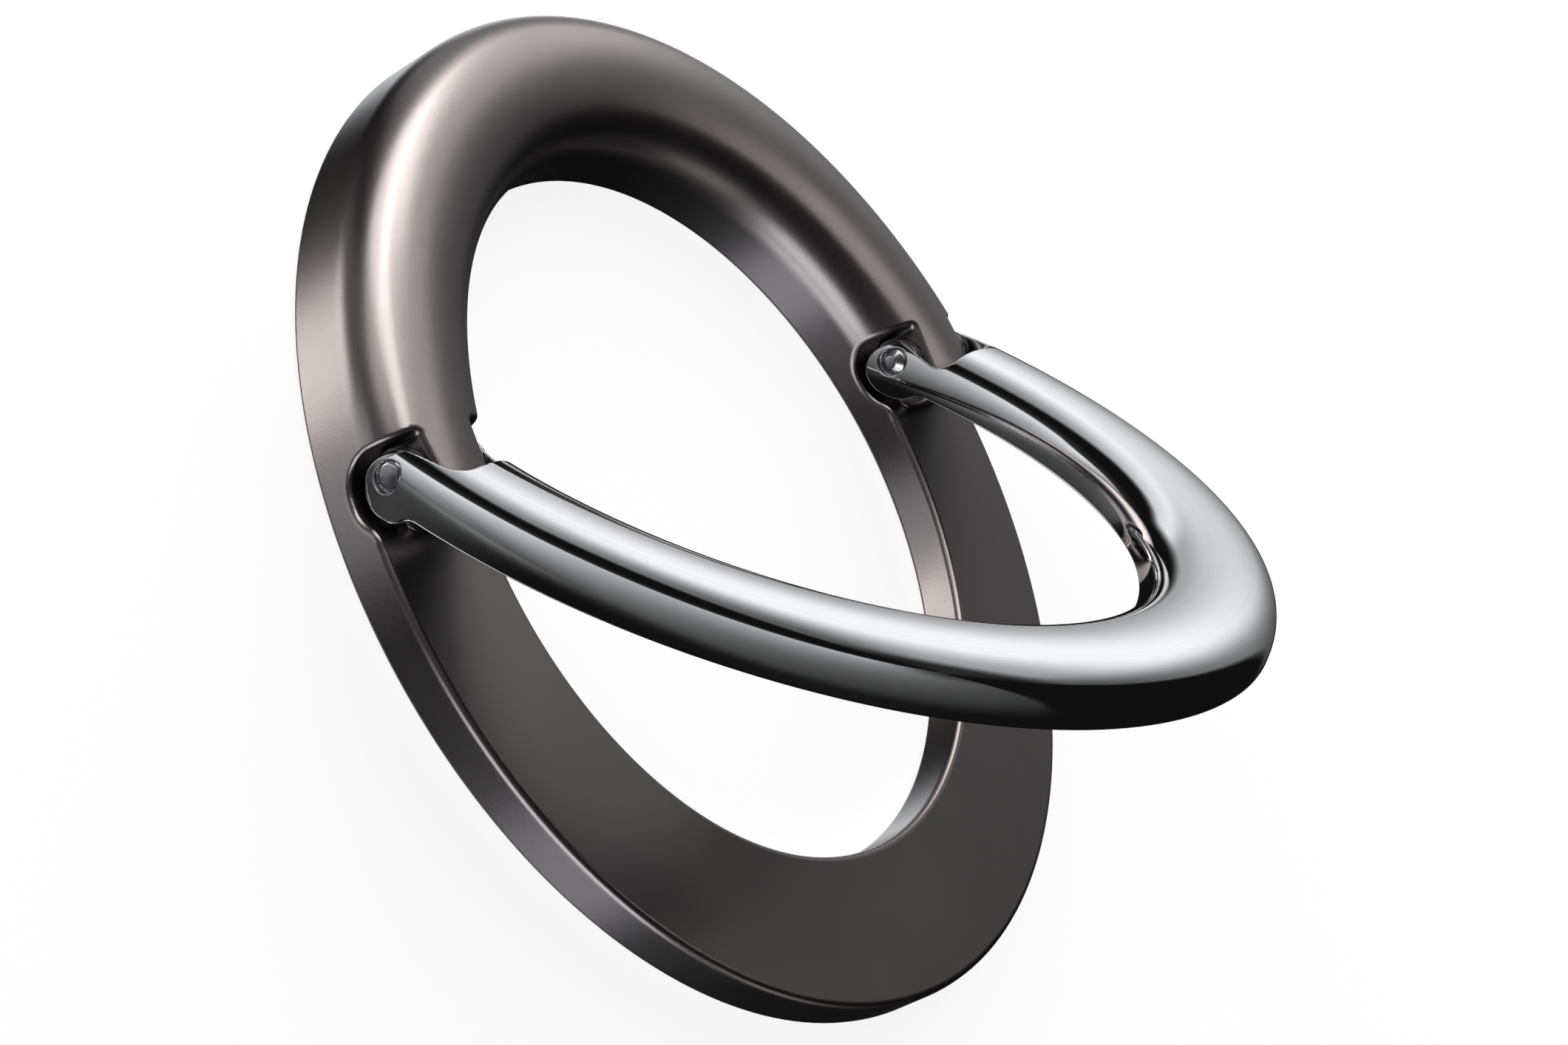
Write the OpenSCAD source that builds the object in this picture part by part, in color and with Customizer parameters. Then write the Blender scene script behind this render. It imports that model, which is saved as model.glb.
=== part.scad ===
// Folding phone ring: a flat base ring with a raised arc, and a bail that folds down onto its ledge.
// Origin: centre of the ring on the back face of the grip pad. +Z leaves the phone, +Y points to the
// raised arc, and the hinge axis runs along X.

/* [Ring] */
// Outer radius of the base ring
outer_r = 28; // [27.5:0.1:28.5]
// Radius of the finger hole
hole_r = 19.8; // [19.6:0.1:20.0]
// Height of the ledge that the bail folds onto
ledge_h = 2.6; // [2.5:0.05:2.65]
// Height of the crowned arc and of the closed bail
total_h = 5.7; // [5.6:0.05:5.8]
// Rounding of the ledge's rims
rim_round = 0.37; // [0.2:0.01:0.45]

/* [Crown] */
// Radius, from the ring's centre, at which the crown is highest
crown_mid_r = 24.1; // [24.0:0.05:24.2]
// Radius of the shallow arc over the crown
crown_arc_r = 6.7; // [6.4:0.1:7.0]
// Radius of the outer shoulder of the crown
outer_shoulder_r = 2.45; // [2.2:0.05:2.6]
// Radius of the inner shoulder of the crown
inner_shoulder_r = 3.1; // [2.8:0.05:3.2]

/* [Bail] */
// Angle between the bail as drawn and the closed bail
open_angle = 40.3; // [0:0.1:95]
// Outer radius of the bail
bail_outer_r = 27.6; // [27.4:0.05:27.8]
// Inner radius of the bail
bail_inner_r = 20.3; // [20.1:0.05:20.4]
// Gap between the closed bail and the ledge
seat_gap = 0.05; // [0.05:0.05:0.1]
// Radius of the round lobe at the end of each ear
lobe_r = 1.6; // [1.5:0.05:1.6]
// Length of the flat under each lobe
lobe_flat = 0.35; // [0.2:0.05:0.4]
// Radius of the hollow curve between a lobe and the bail's back
neck_r = 1.2; // [1.0:0.1:1.3]

/* [Hinge] */
// Distance of the hinge axis from the ring's centre line
hinge_y = 5; // [4.8:0.1:5.2]
// Height of the hinge axis
hinge_z = 3.8; // [3.75:0.05:3.85]
// Inner side of each tongue, measured from the centre plane
tongue_in = 21.3; // [21.2:0.05:21.4]
// Outer side of each tongue
tongue_out = 25.3; // [25.2:0.05:25.4]
// Radius of the tongue's round end about the hinge axis
tongue_end_r = 2.8; // [2.7:0.05:2.85]
// Inner side of the slot in the bail that takes the tongue
slot_in = 20.8; // [20.75:0.05:20.85]
// Outer side of that slot
slot_out = 26.05; // [26.0:0.05:26.1]
// Depth of that slot past the hinge axis, at its outer side
slot_depth_out = 3.35; // [3.3:0.05:3.5]
// Depth of that slot at its inner side
slot_depth_in = 2.95; // [2.95:0.05:3.2]
// Radius of the hinge pin
pin_r = 0.75; // [0.7:0.05:0.8]
// Outer radius of the friction bush
bush_r = 1.15; // [1.1:0.05:1.25]
// Radial clearance between pin and bush
pin_clearance = 0.03; // [0.02:0.01:0.05]

/* [Magnets] */
// Number of arc magnets
magnet_count = 16; // [16]
// Inner radius of the magnet groove
groove_in = 22.95; // [22.8:0.05:23.1]
// Outer radius of the magnet groove
groove_out = 27.05; // [26.9:0.05:27.2]
// Thickness of a magnet
magnet_h = 0.7; // [0.6:0.05:0.7]
// Thickness of the steel keeper ring above the magnets
keeper_h = 0.25; // [0.2:0.05:0.25]
// Gap between neighbouring magnets, in degrees
magnet_gap = 1.5; // [1:0.5:3]

/* [Back] */
// Distance by which the grip pad stands proud of the metal
pad_proud = 0.1; // [0.05:0.05:0.15]
// Thickness of the silicone grip pad
pad_h = 0.4; // [0.3:0.05:0.4]
// Thickness of the adhesive ring above the pad
tape_h = 0.1; // [0.05:0.05:0.1]
// Inner radius of the grip pad
pad_in = 20.5; // [20.4:0.1:20.8]
// Outer radius of the grip pad
pad_out = 27.3; // [27.2:0.05:27.4]

/* [Hidden] */
$fn = 96;

gunmetal = "#4a4644";
chrome = "#d9dce0";
dark_steel = "#3a3a3d";
zinc_plate = "#a9abad";
nickel = "#c4c2bc";
nylon = "#e8e4d8";
silicone = "#232325";
tape_white = "#dfe3e6";

big = 60;                                  // longer than the whole ring
arc_step = 7.5;                            // degrees between the points of an outline's arcs
back_z = pad_proud;                        // back face of the metal ring
bail_back_z = ledge_h + seat_gap;          // back face of the closed bail
tape_z = pad_h;                            // top of the pad
magnet_z = pad_h + tape_h;                 // top of the tape
keeper_z = magnet_z + magnet_h;            // top of the magnets
groove_z = keeper_z + keeper_h;            // roof of the magnet groove
fit_gap = 0.05;                            // gap round parts that are glued in
back_chamfer = 0.2;                        // chamfer on the ring's back edges

// Lobe and the pocket that it turns in, both given from the hinge axis
lobe_dy = -0.3;
lobe_dz = -0.35;
lobe_end_dy = 0.4;                         // end face of each ear above its lobe
pocket_r = 1.8;
pocket_dy = -0.25;
pocket_dz = -0.25;
pocket_flat = lobe_flat;

// Pin ends and the counterbores that show round them
pin_inset_in = 0.12;                       // depth of a pin's inner tip below the ear's face
pin_inset_out = 0.35;                      // depth of its outer tip
pin_tip_in_r = 0.35;                       // flat of the pin's inner tip, which has a long chamfer
pin_tip_out_r = 0.6;                       // flat of its outer tip
pin_chamfer_in = 0.3;
pin_chamfer_out = 0.12;
counterbore_r = 0.8;
counterbore_in = 0.35;                     // depth of the counterbore on the inner ear
counterbore_out = 0.45;                    // depth of the one on the outer ear
ear_face_out = sqrt(pow(bail_outer_r, 2) - pow(hinge_y, 2));
ear_face_in = sqrt(pow(bail_inner_r, 2) - pow(hinge_y, 2));

washer_r = 1.15;
washer_t = 0.25;
washer_gap = 0.05;                         // air between a washer and the tongue
slot_round = 1.0;                          // corner radius of the slot in the bail

function magnet_name(i) = str("magnet_", i < 10 ? "0" : "", i);
// Points along an arc, from angle a0 to a1, both ends included.
function arc(centre, r, a0, a1) = let (n = max(3, ceil(abs(a1 - a0) / arc_step)))
    [for (i = [0:n]) let (a = a0 + (a1 - a0) * i / n) centre + r * [cos(a), sin(a)]];
// Height of a shoulder's centre, so that it is tangent to the crown arc.
function shoulder_z(r, shoulder) = total_h - crown_arc_r
    + sqrt(pow(crown_arc_r - shoulder, 2) - pow(r - crown_mid_r, 2));
// Height of the centre of a blend that touches a level line and a circle.
function blend_y(cy, cz, circle_r, level, blend) =
    cy - sqrt(pow(circle_r + blend, 2) - pow(cz - level + blend, 2));

// ---- Helpers -------------------------------------------------------------------------------

// Cross-section of the crowned bar: straight walls, two shoulders and a shallow arc over the top.
module crown_profile(r_in, r_out, bottom) {
    top_c = [crown_mid_r, total_h - crown_arc_r];
    out_c = [r_out - outer_shoulder_r, shoulder_z(r_out - outer_shoulder_r, outer_shoulder_r)];
    in_c = [r_in + inner_shoulder_r, shoulder_z(r_in + inner_shoulder_r, inner_shoulder_r)];
    a_out = atan2(out_c[1] - top_c[1], out_c[0] - top_c[0]);
    a_in = atan2(in_c[1] - top_c[1], in_c[0] - top_c[0]);
    polygon(concat(
        [[r_in, bottom], [r_out, bottom]],
        arc(out_c, outer_shoulder_r, 0, a_out),
        arc(top_c, crown_arc_r, a_out, a_in),
        arc(in_c, inner_shoulder_r, a_in, 180)
    ));
}

// Cross-section of the ledge, with round rims in front and chamfers behind.
module ledge_profile() {
    c = back_chamfer;
    f = rim_round;
    polygon(concat(
        [[hole_r, back_z + c], [hole_r + c, back_z], [outer_r - c, back_z], [outer_r, back_z + c]],
        arc([outer_r - f, ledge_h - f], f, 0, 90),
        arc([hole_r + f, ledge_h - f], f, 90, 180)
    ));
}

// Extrudes a side view, drawn as (y, z), from x0 to x1.
module across(x0, x1) {
    translate([x0, 0, 0]) rotate([90, 0, 90]) linear_extrude(x1 - x0) children();
}

// Puts a side view drawn from the hinge axis in its place.
module at_hinge() {
    translate([hinge_y, hinge_z]) children();
}

// Draws its children, which belong to the right-hand hinge, at both hinges.
module both_hinges() {
    children();
    mirror([1, 0, 0]) children();
}

// Turns the closed bail to the angle at which it is drawn.
module opened() {
    translate([0, hinge_y, hinge_z]) rotate([-open_angle, 0, 0])
        translate([0, -hinge_y, -hinge_z]) children();
}

// A cylinder on the hinge axis from x0 to x1.
module on_axis(r, x0, x1) {
    translate([x0, hinge_y, hinge_z]) rotate([0, 90, 0]) cylinder(r = r, h = x1 - x0);
}

module flat_ring(r_in, r_out, z0, z1) {
    translate([0, 0, z0]) difference() {
        cylinder(r = r_out, h = z1 - z0);
        translate([0, 0, -1]) cylinder(r = r_in, h = z1 - z0 + 2);
    }
}

// ---- Base ring -----------------------------------------------------------------------------

// Side view of the space that an ear turns in: round below, straight above, rolled onto the ledge.
module pocket_side() {
    level = ledge_h - hinge_z;
    roll_y = blend_y(pocket_dy, pocket_dz, pocket_r, level, neck_r);
    a = atan2(pocket_dz - level + neck_r, pocket_dy - roll_y);
    at_hinge() polygon(concat(
        [[-big, level]],
        arc([roll_y - pocket_flat, level - neck_r], neck_r, 90, a),
        arc([pocket_dy - pocket_flat, pocket_dz], pocket_r, a + 180, 270),
        arc([pocket_dy, pocket_dz], pocket_r, 270, 360),
        [[pocket_dy + pocket_r, big], [-big, big]]
    ));
}

// The crowned arc and the round-ended tongues that carry the pins.
module raised_arc() {
    intersection() {
        rotate_extrude() crown_profile(hole_r, outer_r, back_z + back_chamfer);
        union() {
            translate([-big, hinge_y, 0]) cube([2 * big, big, big]);
            both_hinges() on_axis(tongue_end_r, tongue_in, tongue_out);
        }
    }
}

module base_ring() {
    color(gunmetal) difference() {
        union() {
            rotate_extrude() ledge_profile();
            raised_arc();
        }
        both_hinges() {
            across(tongue_out, big) pocket_side();
            across(1, tongue_in) pocket_side();
            on_axis(bush_r, tongue_in - 1, tongue_out + 1);
        }
        flat_ring(groove_in, groove_out, back_z, groove_z);
        flat_ring(pad_in - fit_gap, pad_out + fit_gap, -1, magnet_z);
    }
}

// ---- Bail ----------------------------------------------------------------------------------

// Side view of the closed bail: a flat-backed bar that ends in a lobe round the pin.
module bail_side() {
    level = bail_back_z - hinge_z;
    neck_y = blend_y(lobe_dy, lobe_dz, lobe_r, level, neck_r);
    a = atan2(lobe_dz - level + neck_r, lobe_dy - neck_y);
    end_a = acos((lobe_end_dy - lobe_dy) / lobe_r);
    at_hinge() polygon(concat(
        [[-big, level]],
        arc([neck_y - lobe_flat, level - neck_r], neck_r, 90, a),
        arc([lobe_dy - lobe_flat, lobe_dz], lobe_r, a + 180, 270),
        arc([lobe_dy, lobe_dz], lobe_r, 270, 360 + end_a),
        [[lobe_end_dy, big], [-big, big]]
    ));
}

// Plan of the slot for the tongue: its blind end slants and has round corners.
module slot_plan() {
    c = slot_round;
    slant = atan2(slot_depth_out - slot_depth_in, slot_out - slot_in);
    polygon(concat(
        [[slot_out, big], [slot_in, big]],
        arc([slot_in + c, hinge_y - slot_depth_in + c / cos(slant) - c * tan(slant)], c, 180, 270 - slant),
        arc([slot_out - c, hinge_y - slot_depth_out + c / cos(slant) + c * tan(slant)], c, 270 - slant, 360)
    ));
}

module bail() {
    lobe_bottom = hinge_z + lobe_dz - lobe_r;
    color(chrome) opened() difference() {
        intersection() {
            rotate_extrude() crown_profile(bail_inner_r, bail_outer_r, lobe_bottom - 0.5);
            across(-big, big) bail_side();
        }
        both_hinges() {
            linear_extrude(2 * total_h) slot_plan();
            on_axis(pin_r, 1, big);
            on_axis(counterbore_r, ear_face_out - counterbore_out, big);
            on_axis(counterbore_r, 1, ear_face_in + counterbore_in);
        }
    }
}

// ---- Hinge hardware ------------------------------------------------------------------------

// Half section of a pin: a plain shank with a chamfered tip at each end.
module hinge_pin() {
    x0 = ear_face_in + pin_inset_in;
    x1 = ear_face_out - pin_inset_out;
    color(dark_steel) opened() translate([0, hinge_y, hinge_z]) rotate([0, 90, 0]) rotate_extrude()
        polygon([[0, x0], [pin_tip_in_r, x0], [pin_r, x0 + pin_chamfer_in],
                 [pin_r, x1 - pin_chamfer_out], [pin_tip_out_r, x1], [0, x1]]);
}

module friction_bush() {
    color(nylon) difference() {
        on_axis(bush_r, tongue_in, tongue_out);
        on_axis(pin_r + pin_clearance, tongue_in - 1, tongue_out + 1);
    }
}

// Conical washer that fills the wider gap beside the tongue.
module spring_washer() {
    x0 = tongue_out + washer_gap;
    x1 = slot_out - washer_gap;
    rise = x1 - x0 - washer_t;
    color(zinc_plate) opened() translate([x0, hinge_y, hinge_z]) rotate([0, 90, 0]) rotate_extrude()
        polygon([[pin_r + 0.1, rise], [washer_r, 0], [washer_r, washer_t],
                 [pin_r + 0.1, rise + washer_t]]);
}

module thrust_washer() {
    x0 = slot_in + washer_gap;
    x1 = tongue_in - washer_gap;
    color(zinc_plate) opened() difference() {
        on_axis(washer_r, x0, x1);
        on_axis(pin_r + 0.1, x0 - 1, x1 + 1);
    }
}

// ---- Magnets and back ----------------------------------------------------------------------

module magnet(i) {
    step = 360 / magnet_count;
    r0 = groove_in + fit_gap;
    color(nickel) rotate([0, 0, step * (i - 1)]) translate([0, 0, magnet_z])
        rotate_extrude(angle = step - magnet_gap) translate([r0, 0])
            square([groove_out - fit_gap - r0, magnet_h]);
}

module keeper_ring() {
    color(zinc_plate) flat_ring(groove_in + fit_gap, groove_out - fit_gap, keeper_z, groove_z);
}

module tape_ring() {
    color(tape_white) flat_ring(pad_in, pad_out, tape_z, magnet_z);
}

module grip_pad() {
    color(silicone) flat_ring(pad_in, pad_out, 0, tape_z);
}

base_ring();
bail();
mirror([1, 0, 0]) hinge_pin();  // hinge_pin_left
hinge_pin();  // hinge_pin_right
mirror([1, 0, 0]) friction_bush();  // friction_bush_left
friction_bush();  // friction_bush_right
mirror([1, 0, 0]) spring_washer();  // spring_washer_left
spring_washer();  // spring_washer_right
mirror([1, 0, 0]) thrust_washer();  // thrust_washer_left
thrust_washer();  // thrust_washer_right
keeper_ring();
tape_ring();
grip_pad();
for (i = [1:magnet_count])
    magnet(i);
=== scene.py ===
"""Folding phone ring: a satin gunmetal base ring with a raised arc, and a mirror-chrome bail on two pins.

The two castings are meshed from exact distance functions, so that their fillets and reflections are
smooth. Lengths in the shape functions are millimetres; everything handed to Blender is metres.
"""
import math

import bpy
import numpy as np
from mathutils import Matrix, Vector


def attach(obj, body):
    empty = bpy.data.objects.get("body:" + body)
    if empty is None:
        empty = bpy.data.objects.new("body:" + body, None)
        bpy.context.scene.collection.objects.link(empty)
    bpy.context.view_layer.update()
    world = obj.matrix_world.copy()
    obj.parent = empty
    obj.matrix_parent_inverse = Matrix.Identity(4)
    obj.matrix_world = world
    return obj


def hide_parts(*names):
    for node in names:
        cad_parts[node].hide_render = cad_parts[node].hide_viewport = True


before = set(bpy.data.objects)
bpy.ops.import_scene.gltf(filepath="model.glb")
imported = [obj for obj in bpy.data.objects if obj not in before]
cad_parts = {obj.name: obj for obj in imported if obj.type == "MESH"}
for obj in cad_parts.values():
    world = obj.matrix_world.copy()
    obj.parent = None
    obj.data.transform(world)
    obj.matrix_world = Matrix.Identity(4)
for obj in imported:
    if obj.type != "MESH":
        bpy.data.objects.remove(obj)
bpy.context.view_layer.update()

MM = 0.001

# ---- Sizes, the same as in the CAD source ---------------------------------------------------

OUTER_R, HOLE_R = 28.0, 19.8
LEDGE_H, TOTAL_H, BACK_Z = 2.6, 5.7, 0.1
CROWN_MID_R, CROWN_ARC_R = 24.1, 6.7
OUTER_SHOULDER_R, INNER_SHOULDER_R = 2.45, 3.1
HINGE_Y, HINGE_Z = 5.0, 3.8
OPEN_ANGLE = 40.3
BAIL_OUTER_R, BAIL_INNER_R = 27.6, 20.3
SEAT_GAP = 0.05
LOBE_R, LOBE_DY, LOBE_DZ, LOBE_FLAT, LOBE_END_DY = 1.6, -0.3, -0.35, 0.35, 0.4
NECK_R = 1.2
POCKET_R, POCKET_DY, POCKET_DZ, POCKET_FLAT = 1.8, -0.25, -0.25, 0.35
TONGUE_IN, TONGUE_OUT, TONGUE_END_R = 21.3, 25.3, 2.8
SLOT_IN, SLOT_OUT, SLOT_ROUND = 20.8, 26.05, 1.0
SLOT_DEPTH_IN, SLOT_DEPTH_OUT = 2.95, 3.35
PIN_R, BUSH_R = 0.75, 1.15
PIN_TIP_IN_R, PIN_CHAMFER_IN, PIN_INSET_IN = 0.35, 0.3, 0.12
PIN_TIP_OUT_R, PIN_CHAMFER_OUT, PIN_INSET_OUT = 0.6, 0.12, 0.35
COUNTERBORE_R, COUNTERBORE_IN, COUNTERBORE_OUT = 0.8, 0.35, 0.45
GROOVE_IN, GROOVE_OUT, GROOVE_Z = 22.95, 27.05, 1.45
PAD_IN, PAD_OUT, PAD_H, TAPE_TOP = 20.5, 27.3, 0.4, 0.5
FIT_GAP = 0.05
EAR_FACE_OUT = math.sqrt(BAIL_OUTER_R ** 2 - HINGE_Y ** 2)
EAR_FACE_IN = math.sqrt(BAIL_INNER_R ** 2 - HINGE_Y ** 2)

# Fillets that only the castings' surfaces have
RIM_ROUND = 0.38
POCKET_ROUND = 0.27
TONGUE_ROUND = 0.33
BAIL_ROUND = 0.14
SLOT_EDGE_ROUND = 0.14
HOLE_ROUND = 0.07
RECESS_ROUND = 0.04
CORNER_LOW, CORNER_HIGH = 0.08, 0.3  # between a tongue and its pocket: at the floor, and higher up
BAR_ROUND = 0.2  # at the back edges of both bars
BIG = 60.0  # farther than any surface


# ---- Distance functions ----------------------------------------------------------------------

def line(a, b):
    return ("line", a, b)


def arc(centre, radius, a0, a1):
    return ("arc", centre, radius, a0, a1)


def outline(u, v, parts):
    """Signed distance to an outline of lines and arcs; the solid lies on its left and is negative."""
    best = np.full(u.shape, 1e9)
    side_of = np.ones(u.shape)
    for part in parts:
        if part[0] == "line":
            (ax, ay), (bx, by) = part[1:]
            dx, dy = bx - ax, by - ay
            run = math.hypot(dx, dy)
            t = np.clip(((u - ax) * dx + (v - ay) * dy) / run ** 2, 0, 1)
            d = np.hypot(u - ax - t * dx, v - ay - t * dy)
            s = ((u - ax) * dy - (v - ay) * dx) / run
        else:
            (cx, cy), radius, a0, a1 = part[1:]
            mid, half = math.radians((a0 + a1) / 2), math.radians(abs(a1 - a0) / 2)
            x, y = u - cx, v - cy
            along = x * math.cos(mid) + y * math.sin(mid)
            across = y * math.cos(mid) - x * math.sin(mid)
            rho = np.hypot(x, y)
            end = np.hypot(along - radius * math.cos(half), np.abs(across) - radius * math.sin(half))
            past = along * math.cos(half) + np.abs(across) * math.sin(half) - radius
            beside = np.abs(np.arctan2(across, along)) <= half
            d = np.where(beside, np.abs(rho - radius), end)
            s = np.where(beside, rho - radius, past) * (1 if a1 > a0 else -1)
        nearer = d < best - 1e-9
        best = np.where(nearer, d, best)
        side_of = np.where(nearer, s, side_of)
    return np.copysign(best, side_of)


def both(a, b, r):
    """The solid common to a and b, its new edge rounded by r."""
    return np.minimum(-r, np.maximum(a, b)) + np.hypot(np.maximum(r + a, 0), np.maximum(r + b, 0))


def either(a, b, r):
    """The solid of a and b together, its new corner filled by r."""
    return np.maximum(r, np.minimum(a, b)) - np.hypot(np.maximum(r - a, 0), np.maximum(r - b, 0))


def fade(value, start, width):
    """0 up to start, and rising evenly to 1 over the width."""
    return np.clip((value - start) / width, 0, 1)


def shoulder_z(r, shoulder):
    return TOTAL_H - CROWN_ARC_R + math.sqrt((CROWN_ARC_R - shoulder) ** 2 - (r - CROWN_MID_R) ** 2)


def blend_y(cy, cz, circle_r, level, blend):
    return cy - math.sqrt((circle_r + blend) ** 2 - (cz - level + blend) ** 2)


def crown_parts(r_in, r_out, bottom):
    """Cross-section of the crowned bar, as an outline in (r, z)."""
    edge = BAR_ROUND
    top = (CROWN_MID_R, TOTAL_H - CROWN_ARC_R)
    out = (r_out - OUTER_SHOULDER_R, shoulder_z(r_out - OUTER_SHOULDER_R, OUTER_SHOULDER_R))
    inn = (r_in + INNER_SHOULDER_R, shoulder_z(r_in + INNER_SHOULDER_R, INNER_SHOULDER_R))
    a_out = math.degrees(math.atan2(out[1] - top[1], out[0] - top[0]))
    a_in = math.degrees(math.atan2(inn[1] - top[1], inn[0] - top[0]))
    return [
        line((r_in + edge, bottom), (r_out - edge, bottom)),
        arc((r_out - edge, bottom + edge), edge, -90, 0),
        line((r_out, bottom + edge), (r_out, out[1])),
        arc(out, OUTER_SHOULDER_R, 0, a_out),
        arc(top, CROWN_ARC_R, a_out, a_in),
        arc(inn, INNER_SHOULDER_R, a_in, 180),
        line((r_in, inn[1]), (r_in, bottom + edge)),
        arc((r_in + edge, bottom + edge), edge, 180, 270),
    ]


def pocket_parts():
    """Side view of the ledge and of the space for an ear, from the hinge axis."""
    level = LEDGE_H - HINGE_Z
    centre, floor_z = (POCKET_DY - POCKET_FLAT, POCKET_DZ), POCKET_DZ - POCKET_R
    roll = (blend_y(*centre, POCKET_R, level, NECK_R), level - NECK_R)
    a = math.degrees(math.atan2(centre[1] - roll[1], centre[0] - roll[0]))
    wall = POCKET_DY + POCKET_R
    return [
        line((wall, BIG), (wall, POCKET_DZ)),
        arc((POCKET_DY, POCKET_DZ), POCKET_R, 0, -90),
        line((POCKET_DY, floor_z), (centre[0], floor_z)),
        arc(centre, POCKET_R, -90, a - 180),
        arc(roll, NECK_R, a, 90),
        line((roll[0], level), (-BIG, level)),
    ]


def lobe_parts():
    """Side view of the closed bail, from the hinge axis."""
    level = LEDGE_H + SEAT_GAP - HINGE_Z
    centre, low = (LOBE_DY - LOBE_FLAT, LOBE_DZ), LOBE_DZ - LOBE_R
    neck = (blend_y(*centre, LOBE_R, level, NECK_R), level - NECK_R)
    a = math.degrees(math.atan2(centre[1] - neck[1], centre[0] - neck[0]))
    end_a = math.acos((LOBE_END_DY - LOBE_DY) / LOBE_R)
    return [
        line((-BIG, level), (neck[0], level)),
        arc(neck, NECK_R, 90, a),
        arc(centre, LOBE_R, a - 180, -90),
        line((centre[0], low), (LOBE_DY, low)),
        arc((LOBE_DY, LOBE_DZ), LOBE_R, -90, math.degrees(end_a)),
        line((LOBE_END_DY, LOBE_DZ + LOBE_R * math.sin(end_a)), (LOBE_END_DY, BIG)),
    ]


def slot_parts():
    """Plan of the slot for a tongue, in (|x|, y): its blind end slants and has round corners."""
    c = SLOT_ROUND
    slant = math.atan2(SLOT_DEPTH_OUT - SLOT_DEPTH_IN, SLOT_OUT - SLOT_IN)
    lift = c / math.cos(slant)
    inner = (SLOT_IN + c, HINGE_Y - SLOT_DEPTH_IN + lift - c * math.tan(slant))
    outer = (SLOT_OUT - c, HINGE_Y - SLOT_DEPTH_OUT + lift + c * math.tan(slant))
    low = -90 - math.degrees(slant)
    foot = (c * math.cos(math.radians(low)), c * math.sin(math.radians(low)))
    return [
        line((SLOT_IN, BIG), (SLOT_IN, inner[1])),
        arc(inner, c, -180, low),
        line((inner[0] + foot[0], inner[1] + foot[1]), (outer[0] + foot[0], outer[1] + foot[1])),
        arc(outer, c, low, 0),
        line((SLOT_OUT, outer[1]), (SLOT_OUT, BIG)),
    ]


BASE_CROWN = crown_parts(HOLE_R, OUTER_R, BACK_Z)
BAIL_CROWN = crown_parts(BAIL_INNER_R, BAIL_OUTER_R, -5.0)  # the lobe's outline cuts the back
POCKET = pocket_parts()
LOBE = lobe_parts()
SLOT = slot_parts()


def base_distance(x, y, z):
    """Base ring: crowned band, cut down to the ledge and the pockets everywhere but at the tongues."""
    r, dy, dz, ax = np.hypot(x, y), y - HINGE_Y, z - HINGE_Z, np.abs(x)
    rho = np.hypot(dy, dz)
    crown = outline(r, z, BASE_CROWN)
    side = outline(dy, dz, POCKET)
    slab = np.maximum(TONGUE_IN - ax, ax - TONGUE_OUT)
    tongue = both(slab, np.minimum(rho - TONGUE_END_R, -dy), TONGUE_ROUND)
    rim = RIM_ROUND + (POCKET_ROUND - RIM_ROUND) * fade(dy, -3.1, 0.8)
    rim = rim + (TONGUE_ROUND - rim) * fade(side - tongue, -0.25, 0.5)
    corner = CORNER_LOW + (CORNER_HIGH - CORNER_LOW) * fade(dz, -0.9, 0.6)
    d = both(crown, either(side, tongue, corner), rim)

    # the bush's bore, the magnets' groove, and the recess for the pad and its tape
    d = np.maximum(d, -np.maximum(rho - BUSH_R, np.maximum(TONGUE_IN - 1 - ax, ax - TONGUE_OUT - 1)))
    d = np.maximum(d, -np.maximum(np.maximum(GROOVE_IN - r, r - GROOVE_OUT), z - GROOVE_Z))
    recess = np.maximum(np.maximum(PAD_IN - FIT_GAP - r, r - PAD_OUT - FIT_GAP), z - TAPE_TOP)
    return both(d, -recess, RECESS_ROUND)


def bail_distance(x, y, z):
    """Bail, closed: crowned bar with a flat back, a lobe at each end, and a slot for each tongue."""
    r, dy, dz, ax = np.hypot(x, y), y - HINGE_Y, z - HINGE_Z, np.abs(x)
    d = both(outline(r, z, BAIL_CROWN), outline(dy, dz, LOBE), BAIL_ROUND)
    d = both(d, -outline(ax, y, SLOT), SLOT_EDGE_ROUND)
    rho = np.hypot(dy, dz)
    sunk = np.minimum(EAR_FACE_OUT - COUNTERBORE_OUT - ax, ax - EAR_FACE_IN - COUNTERBORE_IN)
    hole = np.minimum(rho - PIN_R, np.maximum(rho - COUNTERBORE_R, sunk))
    return both(d, -hole, HOLE_ROUND)


# ---- Meshing ---------------------------------------------------------------------------------

def spans(*pieces):
    """Grid values: (start, end, step) pieces that follow each other; the last end is left out."""
    rows = [np.linspace(a, b, max(1, round((b - a) / s)), endpoint=False) for a, b, s in pieces]
    return np.concatenate(rows)


def gradient(field, p, h=2e-3):
    g = np.empty_like(p)
    for k in range(3):
        q = np.zeros(3)
        q[k] = h
        g[:, k] = (field(*(p + q).T) - field(*(p - q).T)) / (2 * h)
    return g


def settle(field, p, rounds):
    """Moves points onto the surface along the field's slope."""
    for _ in range(rounds):
        g = gradient(field, p)
        f = field(*p.T)
        step = f / np.maximum((g * g).sum(1), 0.25)
        p = p - np.clip(step, -0.1, 0.1)[:, None] * g
    return p


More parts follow.
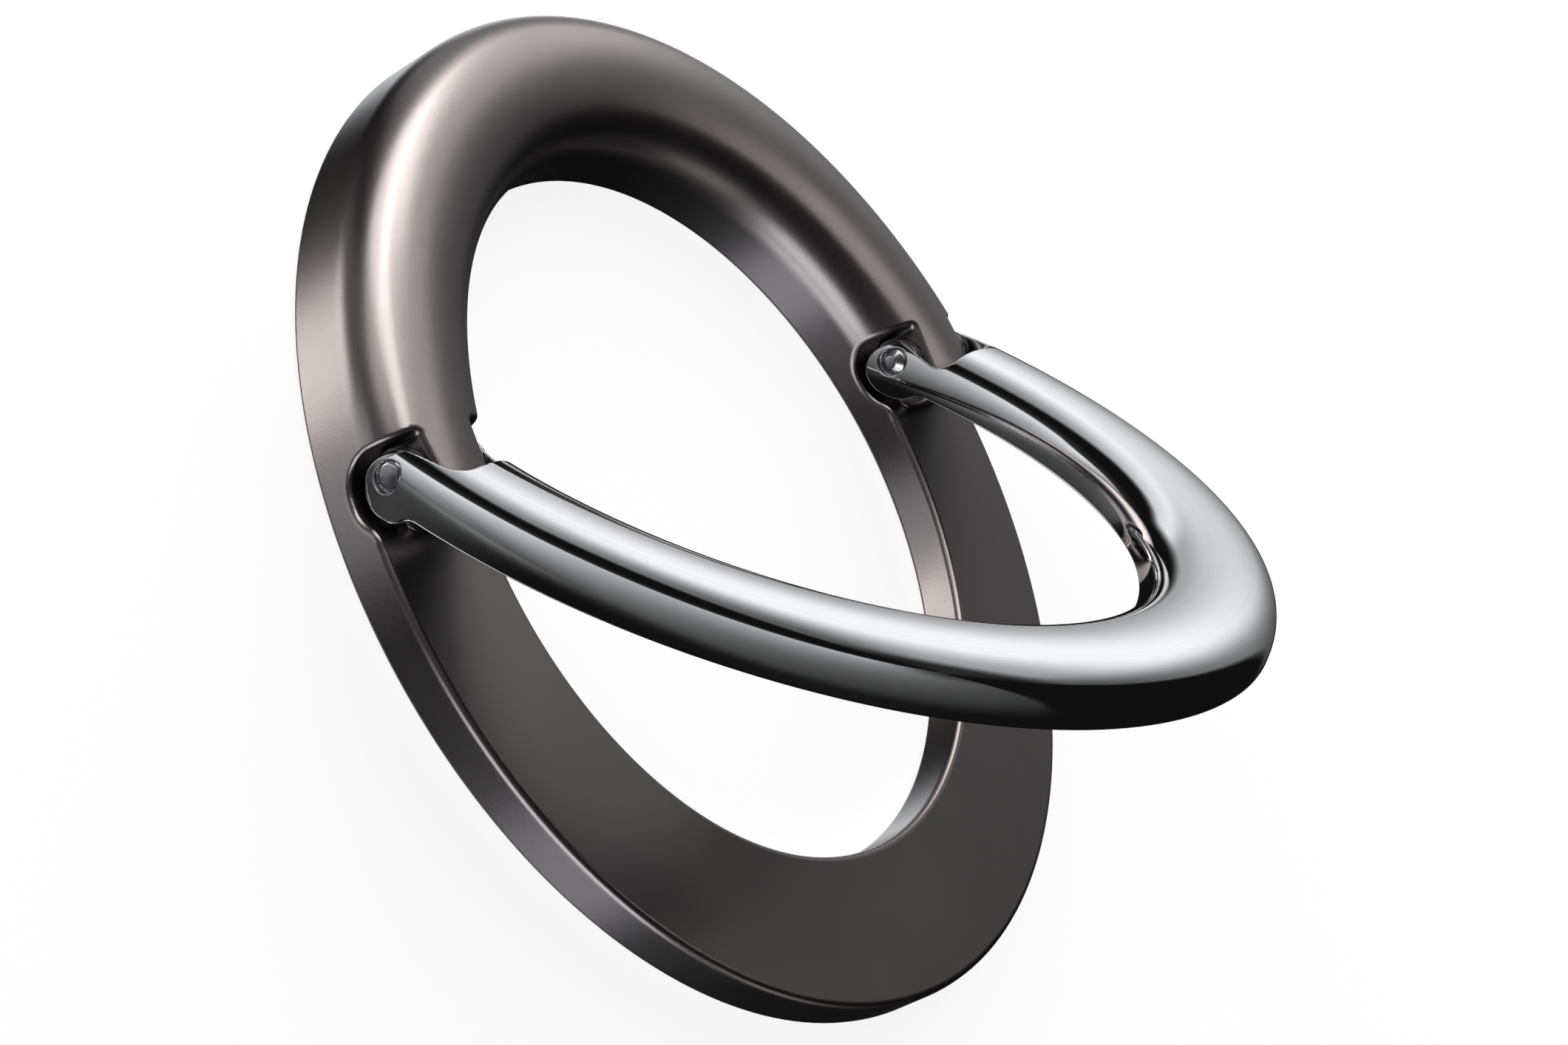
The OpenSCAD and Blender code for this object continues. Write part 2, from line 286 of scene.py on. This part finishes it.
def net(field, turn, rs, zs):
    """Surface net of a field on a grid of angle, radius and height that closes on itself in angle."""
    n0, n1, n2 = len(turn), len(rs), len(zs)
    a, r, z = np.meshgrid(np.radians(turn), rs, zs, indexing="ij")
    grid = np.stack([r * np.cos(a), r * np.sin(a), z], -1)
    value = field(grid[..., 0], grid[..., 1], grid[..., 2])
    inside = value < 0

    def corner(array, i, j, k):
        rolled = np.roll(array, -i, 0)
        return rolled[:, j:n1 - 1 + j, k:n2 - 1 + k]

    corners = [(i, j, k) for i in (0, 1) for j in (0, 1) for k in (0, 1)]
    count = sum(corner(inside, *c).astype(int) for c in corners)
    active = (count > 0) & (count < 8)
    index = np.full(active.shape, -1)
    index[active] = np.arange(active.sum())

    total = np.zeros((active.sum(), 3))
    hits = np.zeros(active.sum())
    for c in corners:
        for axis in range(3):
            if c[axis]:
                continue
            e = list(c)
            e[axis] = 1
            va, vb = corner(value, *c)[active], corner(value, *e)[active]
            cut = (va < 0) != (vb < 0)
            t = np.where(cut, va / np.where(cut, va - vb, 1), 0)[:, None]
            point = corner(grid, *c)[active] * (1 - t) + corner(grid, *e)[active] * t
            total += np.where(cut[:, None], point, 0)
            hits += cut
    points = total / hits[:, None]

    quads = []
    for axis, u, w in ((0, 1, 2), (1, 2, 0), (2, 0, 1)):
        shift = [slice(None)] * 3
        ahead = np.roll(inside, -1, 0) if axis == 0 else None
        if axis:
            shift[axis] = slice(1, None)
            ahead = np.concatenate([inside[tuple(shift)], np.take(inside, [-1], axis)], axis)
        i, j, k = np.nonzero(inside != ahead)
        at = [i, j, k]
        out = inside[i, j, k]

        def cell(du, dw):
            q = list(at)
            q[u] = q[u] - du
            q[w] = q[w] - dw
            q[0] = q[0] % n0
            return index[q[0], np.clip(q[1], 0, n1 - 2), np.clip(q[2], 0, n2 - 2)]

        ring = np.stack([cell(1, 1), cell(0, 1), cell(0, 0), cell(1, 0)], 1)
        quads.append(np.where(out[:, None], ring[:, ::-1], ring))
    quads = np.concatenate(quads)
    return points, quads[(quads >= 0).all(1)]


def relax(field, points, quads, rounds):
    """Evens out the net along the surface."""
    n = len(points)
    for _ in range(rounds):
        total, count = np.zeros((n, 3)), np.zeros(n)
        for k in range(4):
            for other in (quads[:, (k + 1) % 4], quads[:, (k + 3) % 4]):
                for axis in range(3):
                    total[:, axis] += np.bincount(quads[:, k], points[other, axis], n)
                count += np.bincount(quads[:, k], minlength=n)
        normal = gradient(field, points)
        normal /= np.linalg.norm(normal, axis=1)[:, None]
        move = total / count[:, None] - points
        move -= (move * normal).sum(1)[:, None] * normal
        points = settle(field, points + 0.5 * move, 1)
    return points


def casting(name, field, turn, rs, zs, place=None):
    """A mesh object of a field's surface, with the field's own normals."""
    points, quads = net(field, turn, rs, zs)
    points = settle(field, points, 3)
    points = settle(field, relax(field, points, quads, 3), 2)
    normals = gradient(field, points, 4e-3)
    normals /= np.linalg.norm(normals, axis=1)[:, None]
    if place is not None:
        spin = np.array(place.to_3x3())
        points = points @ spin.T + np.array(place.translation)
        normals = normals @ spin.T
    mesh = bpy.data.meshes.new(name)
    mesh.from_pydata((points * MM).tolist(), [], quads.tolist())
    mesh.validate()
    mesh.shade_smooth()
    mesh.normals_split_custom_set_from_vertices(normals.tolist())
    ob = bpy.data.objects.new(name, mesh)
    bpy.context.scene.collection.objects.link(ob)
    return ob


def soften(points, cut, steps=4):
    """Rounds the corners of an open profile, starting cut before each corner."""
    out = [points[0]]
    for before, here, after in zip(points, points[1:], points[2:]):
        ends = []
        for other in (before, after):
            run = math.dist(here, other)
            t = min(cut, 0.45 * run) / run
            ends.append([h + (o - h) * t for h, o in zip(here, other)])
        for k in range(steps + 1):
            t = k / steps
            out.append([(1 - t) ** 2 * a + 2 * t * (1 - t) * h + t * t * b
                        for a, h, b in zip(ends[0], here, ends[1])])
    return out + [points[-1]]


def turned(name, profile, steps, axis_x=False, place=None):
    """A mesh turned from (radius, height) points about Z or X; a profile off the axis closes on itself."""
    on_axis = profile[0][0] == 0
    ring = profile[1:-1] if on_axis else profile
    n = len(ring)
    points = []
    for k in range(steps):
        a = 2 * math.pi * k / steps
        points += [(r * math.cos(a), r * math.sin(a), h) for r, h in ring]
    faces = []
    for k in range(steps):
        m = (k + 1) % steps
        for i in range(n - 1 if on_axis else n):
            j = (i + 1) % n
            faces.append((k * n + i, m * n + i, m * n + j, k * n + j))
        if on_axis:
            faces.append((steps * n, m * n, k * n))
            faces.append((steps * n + 1, k * n + n - 1, m * n + n - 1))
    if on_axis:
        points += [(0, 0, profile[0][1]), (0, 0, profile[-1][1])]
    if axis_x:
        points = [(z, x, y) for x, y, z in points]
    if place is not None:
        points = [place @ Vector(p) for p in points]
    mesh = bpy.data.meshes.new(name)
    mesh.from_pydata([tuple(c * MM for c in p) for p in points], [], faces)
    mesh.shade_smooth()
    ob = bpy.data.objects.new(name, mesh)
    bpy.context.scene.collection.objects.link(ob)
    return ob


def opened():
    """Turns the closed bail to its place at rest, in millimetres."""
    hinge = Vector((0, HINGE_Y, HINGE_Z))
    return (Matrix.Translation(hinge) @ Matrix.Rotation(math.radians(-OPEN_ANGLE), 4, "X")
            @ Matrix.Translation(-hinge))


def ring_angles(coarse_back, coarse_front, *zones):
    """Angles all round the ring: slices (y0, y1, step) across each hinge, and coarse ones between."""
    mid = 24.0  # the radius at which the slices have these widths
    half = [(math.degrees(math.asin(y0 / mid)), math.degrees(math.asin(y1 / mid)),
             math.degrees(step / mid)) for y0, y1, step in zones]
    first, last = half[0][0], half[-1][1]
    mirrored = [(180 - a1, 180 - a0, fine) for a0, a1, fine in reversed(half)]
    return spans(*half, (last, 180 - last, coarse_back), *mirrored,
                 (180 - first, 360 + first, coarse_front))


def base_ring():
    step = 0.12
    turn = ring_angles(1.6, 1.6, (-1.2, 8.7, step))
    rs = spans((HOLE_R - 0.25, OUTER_R + 0.37, step))
    zs = spans((BACK_Z - 0.2, TOTAL_H + 0.3, step))
    return casting("base_ring_cast", base_distance, turn, rs, zs)


def bail():
    """The bail's grid is finest across the ears and their pin holes."""
    fine = 0.06
    turn = ring_angles(8.0, 1.8, (1.0, 3.3, 0.1), (3.3, 7.7, fine))
    rs = spans((BAIL_INNER_R - 0.25, 21.4, fine), (21.4, 25.8, 0.16), (25.8, BAIL_OUTER_R + 0.2, fine))
    zs = spans((HINGE_Z + LOBE_DZ - LOBE_R - 0.2, 2.85, 0.08), (2.85, 4.75, 0.055),
               (4.75, TOTAL_H + 0.2, 0.08))
    return casting("bail_chrome", bail_distance, turn, rs, zs, opened())


def hinge_pin(name, side):
    """One pin; side is 1 on the right and -1 on the left."""
    x0, x1 = EAR_FACE_IN + PIN_INSET_IN, EAR_FACE_OUT - PIN_INSET_OUT
    profile = [(0, x0), (PIN_TIP_IN_R, x0), (PIN_R, x0 + PIN_CHAMFER_IN),
               (PIN_R, x1 - PIN_CHAMFER_OUT), (PIN_TIP_OUT_R, x1), (0, x1)]
    profile = soften(profile, 0.05)
    if side < 0:
        profile = [(r, -h) for r, h in reversed(profile)]
    place = Matrix.Translation((0, HINGE_Y, HINGE_Z))
    return turned(name, profile, 96, True, place)


def grip_pad():
    """Silicone ring with fine round ridges on the face that grips."""
    count, per = 16, 8  # ridges, and points on each
    depth = 0.06
    pitch = (PAD_OUT - PAD_IN) / count
    low = []
    for k in range(count * per - 3):
        r = PAD_IN + (k + 2) * pitch / per
        low.append((r, depth / 2 * (1 - math.cos(2 * math.pi * (r - PAD_IN) / pitch))))
    top = soften([(PAD_OUT, 0.1), (PAD_OUT, PAD_H), (PAD_IN, PAD_H), (PAD_IN, 0.1)], 0.08)
    return turned("grip_pad_silicone", low + top, 256)


# ---- Node helpers ----------------------------------------------------------------------------

class Graph:
    """Short ways to add nodes to one node tree."""

    def __init__(self, tree):
        self.tree = tree
        tree.nodes.clear()

    def add(self, kind, **inputs):
        node = self.tree.nodes.new(kind)
        for key, value in inputs.items():
            socket = node.inputs[key.replace("_", " ")] if key[0].isupper() else node.inputs[int(key[1:])]
            self.put(socket, value)
        return node

    def put(self, socket, value):
        if isinstance(value, bpy.types.NodeSocket):
            self.tree.links.new(value, socket)
        else:
            socket.default_value = value

    def math(self, operation, a, b=0.0, c=0.0):
        node = self.tree.nodes.new("ShaderNodeMath")
        node.operation = operation
        for socket, value in zip(node.inputs, (a, b, c)):
            self.put(socket, value)
        return node.outputs[0]

    def times(self, *values):
        out = values[0]
        for value in values[1:]:
            out = self.math("MULTIPLY", out, value)
        return out

    def plus(self, *values):
        out = values[0]
        for value in values[1:]:
            out = self.math("ADD", out, value)
        return out

    def ramp(self, value, a, b, lo=0.0, hi=1.0):
        """lo below a, hi above b, and smooth between."""
        node = self.tree.nodes.new("ShaderNodeMapRange")
        node.interpolation_type = "SMOOTHSTEP"
        for socket, v in zip(node.inputs, (value, a, b, lo, hi)):
            self.put(socket, v)
        return node.outputs[0]

    def noise(self, vector, scale, detail=2.0, rough=0.5):
        node = self.add("ShaderNodeTexNoise", Vector=vector, Scale=scale, Detail=detail, Roughness=rough)
        return node.outputs["Fac"]

    def mix(self, fac, a, b):
        node = self.tree.nodes.new("ShaderNodeMix")
        node.data_type = "RGBA"
        self.put(node.inputs[0], fac)
        self.put(node.inputs[6], (*a, 1) if isinstance(a, tuple) else a)
        self.put(node.inputs[7], (*b, 1) if isinstance(b, tuple) else b)
        return node.outputs[2]

    def bump(self, height, strength, distance, normal=None):
        node = self.add("ShaderNodeBump", Strength=strength, Distance=distance, Height=height)
        if normal is not None:
            self.put(node.inputs["Normal"], normal)
        return node.outputs[0]


def material(name, metallic, build):
    """A Principled material; build(graph, place, shader) sets what it needs."""
    mat = bpy.data.materials.new(name)
    mat.use_nodes = True
    g = Graph(mat.node_tree)
    place = g.add("ShaderNodeTexCoord").outputs["Object"]
    shader = g.add("ShaderNodeBsdfPrincipled", Metallic=metallic)
    build(g, place, shader)
    g.add("ShaderNodeOutputMaterial", Surface=shader.outputs[0])
    return mat


# ---- Materials -------------------------------------------------------------------------------

def gunmetal(g, p, sh):
    grain = g.noise(p, 6500.0, 2.0, 0.6)
    cloud = g.noise(p, 160.0, 3.0)
    g.put(sh.inputs["Base Color"], g.mix(cloud, (0.106, 0.099, 0.102), (0.089, 0.084, 0.086)))
    g.put(sh.inputs["Roughness"], g.plus(g.ramp(cloud, 0.3, 0.7, 0.265, 0.3), g.times(grain, 0.05)))
    g.put(sh.inputs["Normal"], g.bump(grain, 0.16, 0.00002))


def lathe_rings(g, p, centre, plane, scale):
    """Noise that changes only with the distance from an axis: the marks of a lathe."""
    flat = g.add("ShaderNodeVectorMath", i0=p, i1=centre)
    flat.operation = "SUBTRACT"
    flat = g.add("ShaderNodeVectorMath", i0=flat.outputs[0], i1=plane)
    flat.operation = "MULTIPLY"
    far = g.add("ShaderNodeVectorMath", i0=flat.outputs[0])
    far.operation = "LENGTH"
    along = g.add("ShaderNodeCombineXYZ", X=far.outputs["Value"])
    return g.noise(along.outputs[0], scale, 1.0)


def chrome(g, p, sh):
    closed = g.add("ShaderNodeVectorRotate", Vector=p, Center=(0, HINGE_Y * MM, HINGE_Z * MM),
                   Axis=(1, 0, 0), Angle=math.radians(OPEN_ANGLE)).outputs[0]
    polish = lathe_rings(g, closed, (0, 0, 0), (1, 1, 0), 5200.0)
    haze = g.noise(p, 420.0, 3.0)
    wave = g.noise(p, 200.0, 1.0)
    tone = g.plus(g.times(polish, 0.7), g.times(haze, 0.3))
    g.put(sh.inputs["Base Color"], g.mix(tone, (0.94, 0.95, 0.965), (0.80, 0.81, 0.825)))
    g.put(sh.inputs["Roughness"], g.ramp(tone, 0.3, 0.7, 0.02, 0.06))
    g.put(sh.inputs["Normal"], g.bump(polish, 0.03, 0.000004, g.bump(wave, 0.05, 0.0002)))


def pin_steel(g, p, sh):
    marks = lathe_rings(g, p, (0, HINGE_Y * MM, HINGE_Z * MM), (0, 1, 1), 16000.0)
    stain = g.noise(p, 1500.0, 2.0)
    g.put(sh.inputs["Base Color"], g.mix(stain, (0.24, 0.24, 0.25), (0.15, 0.15, 0.16)))
    g.put(sh.inputs["Roughness"], g.ramp(stain, 0.3, 0.7, 0.16, 0.27))
    g.put(sh.inputs["Normal"], g.bump(marks, 0.25, 0.00001))


def washer_steel(g, p, sh):
    spots = g.noise(p, 2400.0, 3.0)
    g.put(sh.inputs["Base Color"], g.mix(spots, (0.66, 0.67, 0.68), (0.50, 0.51, 0.54)))
    g.put(sh.inputs["Roughness"], g.ramp(spots, 0.3, 0.7, 0.2, 0.38))
    g.put(sh.inputs["Normal"], g.bump(spots, 0.15, 0.00001))


def magnet_nickel(g, p, sh):
    grain = g.noise(p, 3200.0, 3.0)
    cloud = g.noise(p, 300.0, 2.0)
    g.put(sh.inputs["Base Color"], g.mix(cloud, (0.76, 0.74, 0.69), (0.66, 0.64, 0.60)))
    g.put(sh.inputs["Roughness"], g.ramp(cloud, 0.3, 0.7, 0.24, 0.36))
    g.put(sh.inputs["Normal"], g.bump(grain, 0.12, 0.00001))


def nylon(g, p, sh):
    cloud = g.noise(p, 900.0, 3.0)
    sh.inputs["Subsurface Weight"].default_value = 0.15
    sh.inputs["Subsurface Scale"].default_value = 0.0004
    g.put(sh.inputs["Base Color"], g.mix(cloud, (0.80, 0.77, 0.68), (0.72, 0.69, 0.60)))
    g.put(sh.inputs["Roughness"], g.ramp(cloud, 0.3, 0.7, 0.4, 0.52))
    g.put(sh.inputs["Normal"], g.bump(cloud, 0.1, 0.00001))


def silicone(g, p, sh):
    dust = g.noise(p, 5200.0, 3.0)
    cloud = g.noise(p, 260.0, 2.0)
    sh.inputs["Sheen Weight"].default_value = 0.12
    g.put(sh.inputs["Base Color"], g.mix(cloud, (0.020, 0.020, 0.022), (0.031, 0.031, 0.033)))
    g.put(sh.inputs["Roughness"], g.ramp(dust, 0.3, 0.7, 0.56, 0.7))
    g.put(sh.inputs["Normal"], g.bump(dust, 0.2, 0.00001))


def adhesive(g, p, sh):
    fibre = g.noise(p, 2600.0, 4.0, 0.7)
    g.put(sh.inputs["Base Color"], g.mix(fibre, (0.78, 0.80, 0.81), (0.64, 0.66, 0.68)))
    g.put(sh.inputs["Roughness"], g.ramp(fibre, 0.3, 0.7, 0.34, 0.5))
    g.put(sh.inputs["Normal"], g.bump(fibre, 0.15, 0.00001))


GUNMETAL = material("gunmetal_satin", 1.0, gunmetal)
CHROME = material("mirror_chrome", 1.0, chrome)
PIN_STEEL = material("dark_pin_steel", 1.0, pin_steel)
WASHER_STEEL = material("zinc_plated_steel", 1.0, washer_steel)
NICKEL = material("magnet_nickel", 1.0, magnet_nickel)
NYLON = material("natural_nylon", 0.0, nylon)
SILICONE = material("matt_silicone", 0.0, silicone)
ADHESIVE = material("adhesive_tape", 0.0, adhesive)


# ---- Pieces ----------------------------------------------------------------------------------

def fit(piece, body, node, mat):
    """Puts a finished piece in the place of a CAD node."""
    piece.data.materials.append(mat)
    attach(piece, body)
    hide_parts(node)
    return piece


bail_piece = fit(bail(), "bail", "bail", CHROME)
SATIN = [
    fit(base_ring(), "base", "base_ring", GUNMETAL),
    fit(hinge_pin("pin_left_steel", -1), "bail", "hinge_pin_left", PIN_STEEL),
    fit(hinge_pin("pin_right_steel", 1), "bail", "hinge_pin_right", PIN_STEEL),
    fit(grip_pad(), "base", "grip_pad", SILICONE),
]

FINISH = {"friction_bush": NYLON, "spring_washer": WASHER_STEEL, "thrust_washer": WASHER_STEEL,
          "keeper_ring": WASHER_STEEL, "tape_ring": ADHESIVE, "magnet": NICKEL}
for node_name, node_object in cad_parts.items():
    for start, mat in FINISH.items():
        if node_name.startswith(start):
            for place in node_object.material_slots:
                place.material = mat


# ---- Camera, floor and light -----------------------------------------------------------------

def camera():
    """At the photo's angle: degrees of heading from +X, tilt from level, and roll."""
    data = bpy.data.cameras.new("camera")
    data.lens, data.sensor_width, data.sensor_fit = 87.27, 36.0, "HORIZONTAL"
    data.clip_start, data.clip_end = 0.005, 20.0
    ob = bpy.data.objects.new("camera", data)
    bpy.context.scene.collection.objects.link(ob)
    heading, tilt, roll = 6.437, -32.593, 62.270
    ob.matrix_world = (Matrix.Translation((-0.16601, -0.02125, 0.11232))
                       @ Matrix.Rotation(math.radians(heading - 90), 4, "Z")
                       @ Matrix.Rotation(math.radians(90 + tilt), 4, "X")
                       @ Matrix.Rotation(math.radians(roll), 4, "Z"))
    bpy.context.scene.camera = ob


def pale_floor():
    mesh = bpy.data.meshes.new("floor")
    half = 1.5
    mesh.from_pydata([(-half, -half, 0), (half, -half, 0), (half, half, 0), (-half, half, 0)],
                     [], [(0, 1, 2, 3)])
    ob = bpy.data.objects.new("floor", mesh)
    bpy.context.scene.collection.objects.link(ob)
    mat = bpy.data.materials.new("pale_floor")
    mat.use_nodes = True
    g = Graph(mat.node_tree)
    sh = g.add("ShaderNodeBsdfPrincipled", Roughness=0.9, Base_Color=(0.86, 0.86, 0.86, 1))
    sh.inputs["Emission Color"].default_value = (1, 1, 1, 1)
    sh.inputs["Emission Strength"].default_value = 0.83
    g.add("ShaderNodeOutputMaterial", Surface=sh.outputs[0])
    mesh.materials.append(mat)
    ob.visible_glossy = False


DIMMEST = 0.09  # tone of the dark gaps
DISPLAY_GAMMA = 2.2
GAIN = 1.14  # makes up for what the chrome swallows


def studio():
    """Soft panels and dark gaps round the object, as functions of the direction's angles."""
    world = bpy.data.worlds.new("studio")
    bpy.context.scene.world = world
    world.use_nodes = True
    g = Graph(world.node_tree)
    way = g.add("ShaderNodeTexCoord").outputs["Generated"]
    axes = g.add("ShaderNodeSeparateXYZ", Vector=way).outputs
    turn = math.radians(140)  # so that az runs from -40 to 320
    ahead = g.plus(g.times(axes[0], math.cos(turn)), g.times(axes[1], math.sin(turn)))
    aside = g.plus(g.times(axes[0], -math.sin(turn)), g.times(axes[1], math.cos(turn)))
    az = g.plus(g.times(g.math("ARCTAN2", aside, ahead), 180 / math.pi), 140.0)
    el = g.times(g.math("ARCSINE", axes[2]), 180 / math.pi)

    # The panels are drawn as tones, 0 to 1, and made linear at the end.
    # main panel, over the far side: brightest low in its middle, and fading upwards
    right = g.plus(g.ramp(el, -18, 30, 65, 97), g.ramp(el, 30, 60, 0, 6))
    main = g.times(
        g.ramp(az, -13, -8), g.ramp(az, -10, 27, 0.35, 0.87), g.ramp(az, 48, 96, 1.0, 0.46),
        g.ramp(g.math("SUBTRACT", az, right), -5, 4, 1, 0), g.ramp(el, -22, -14),
        g.ramp(el, -14, 16, g.ramp(az, 44, 56, 0.62, 0.95), 1.0),
        g.ramp(el, 22, 66, 1.0, 0.60), g.ramp(el, 64, 78, 1.0, 0.16))
    # side panel, over the left and behind the camera: it fades away from its sharp edge
    high = g.math("MAXIMUM", el, 0.0)
    left = g.plus(g.times(high, 0.6), g.ramp(el, -28, 0, 80, 104))
    reach = g.plus(g.times(high, 0.95), 46.0)
    away = g.math("SUBTRACT", az, left)
    slant = g.plus(el, g.times(az, -0.42))
    side = g.times(
        g.math("EXPONENT", g.math("DIVIDE", g.times(away, -1.0), reach)),
        g.plus(g.ramp(away, -12, -3, 0, 0.1), g.ramp(away, -2, 2, 0, 0.9)),
        g.ramp(el, 5, 45, 0.81, 0.6), g.ramp(az, 281, 287, 1, 0),
        g.ramp(slant, -100, -66), g.ramp(el, -30, -8, 0.2, 1.0),
        g.ramp(el, 76, 90, 1.0, 0.4))
    # dim light from the table's side, and a bright patch straight below
    table = g.times(g.ramp(az, 70, 90), g.ramp(az, 150, 190, 1, 0), g.ramp(el, -62, -48),
                    g.ramp(slant, -75, -68, 1, 0), 0.15)
    below = g.ramp(el, -62, -54, 0.75, 0.0)
    tone = g.plus(main, side, table, below, DIMMEST)
    light = g.times(g.math("POWER", tone, DISPLAY_GAMMA), GAIN)
    seen = g.add("ShaderNodeLightPath").outputs["Is Camera Ray"]
    lit = g.add("ShaderNodeBackground", Color=(1, 1, 1, 1), Strength=light)
    plain = g.add("ShaderNodeBackground", Color=(1, 1, 1, 1), Strength=1.0)
    pick = g.add("ShaderNodeMixShader", i0=seen, i1=lit.outputs[0], i2=plain.outputs[0])
    g.add("ShaderNodeOutputWorld", Surface=pick.outputs[0])


WARM, PLAIN, COOL = (1.0, 0.945, 0.895), (1.0, 1.0, 1.0), (0.94, 0.97, 1.0)
# Azimuth, elevation, width and height in degrees, then radiance and colour
LAMPS = {
    "crown_low": (60, 38, 25, 25, 11.6, WARM),
    "crown_high": (90, 60, 25, 25, 11.5, WARM),
    "crown_side": (90, 38, 25, 25, 8.6, WARM),
    "crown_near": (40, 38, 30, 60, 1.9, WARM),
    "crown_left": (120, 38, 25, 25, 4.0, WARM),
    "top_front": (0, 60, 25, 25, 2.8, WARM),
    "through_hole": (-134, 3, 60, 42, 6.1, PLAIN),
    "far_right": (-77, 15, 25, 25, 1.6, WARM),
    "low_left": (152, -18, 25, 45, 2.3, PLAIN),
    "table_left": (120, -30, 25, 25, 9.0, WARM),
    "table_back": (-120, -30, 25, 25, 2.5, COOL),
    "table_front": (30, -30, 25, 25, 1.7, COOL),
}


def lamp(name, az, el, wide, high, radiance, colour):
    """An area light in the direction (az, el), aimed at the origin."""
    far = 0.6
    data = bpy.data.lights.new(name, "AREA")
    data.shape = "RECTANGLE"
    data.size = 2 * far * math.tan(math.radians(wide / 2))
    data.size_y = 2 * far * math.tan(math.radians(high / 2))
    data.energy = radiance * math.pi * data.size * data.size_y
    data.color = colour
    a, e = math.radians(az), math.radians(el)
    way = Vector((math.cos(e) * math.cos(a), math.cos(e) * math.sin(a), math.sin(e)))
    ob = bpy.data.objects.new(name, data)
    ob.location = way * far
    ob.rotation_euler = way.to_track_quat("Z", "Y").to_euler()
    bpy.context.scene.collection.objects.link(ob)
    ob.visible_camera = False
    return ob


def satin_lamps():
    """Soft lamps that only the satin pieces take, so that no lamp shows as a spot in the chrome."""
    lit, blockers = (bpy.data.collections.new(name) for name in ("satin_pieces", "shadow_pieces"))
    for piece in SATIN:
        lit.objects.link(piece)
    for piece in SATIN + [bail_piece]:
        blockers.objects.link(piece)
    for name, numbers in LAMPS.items():
        ob = lamp(name, *numbers)
        ob.light_linking.receiver_collection = lit
        ob.light_linking.blocker_collection = blockers


camera()
pale_floor()
studio()
satin_lamps()
bpy.context.scene.view_settings.view_transform = "Standard"
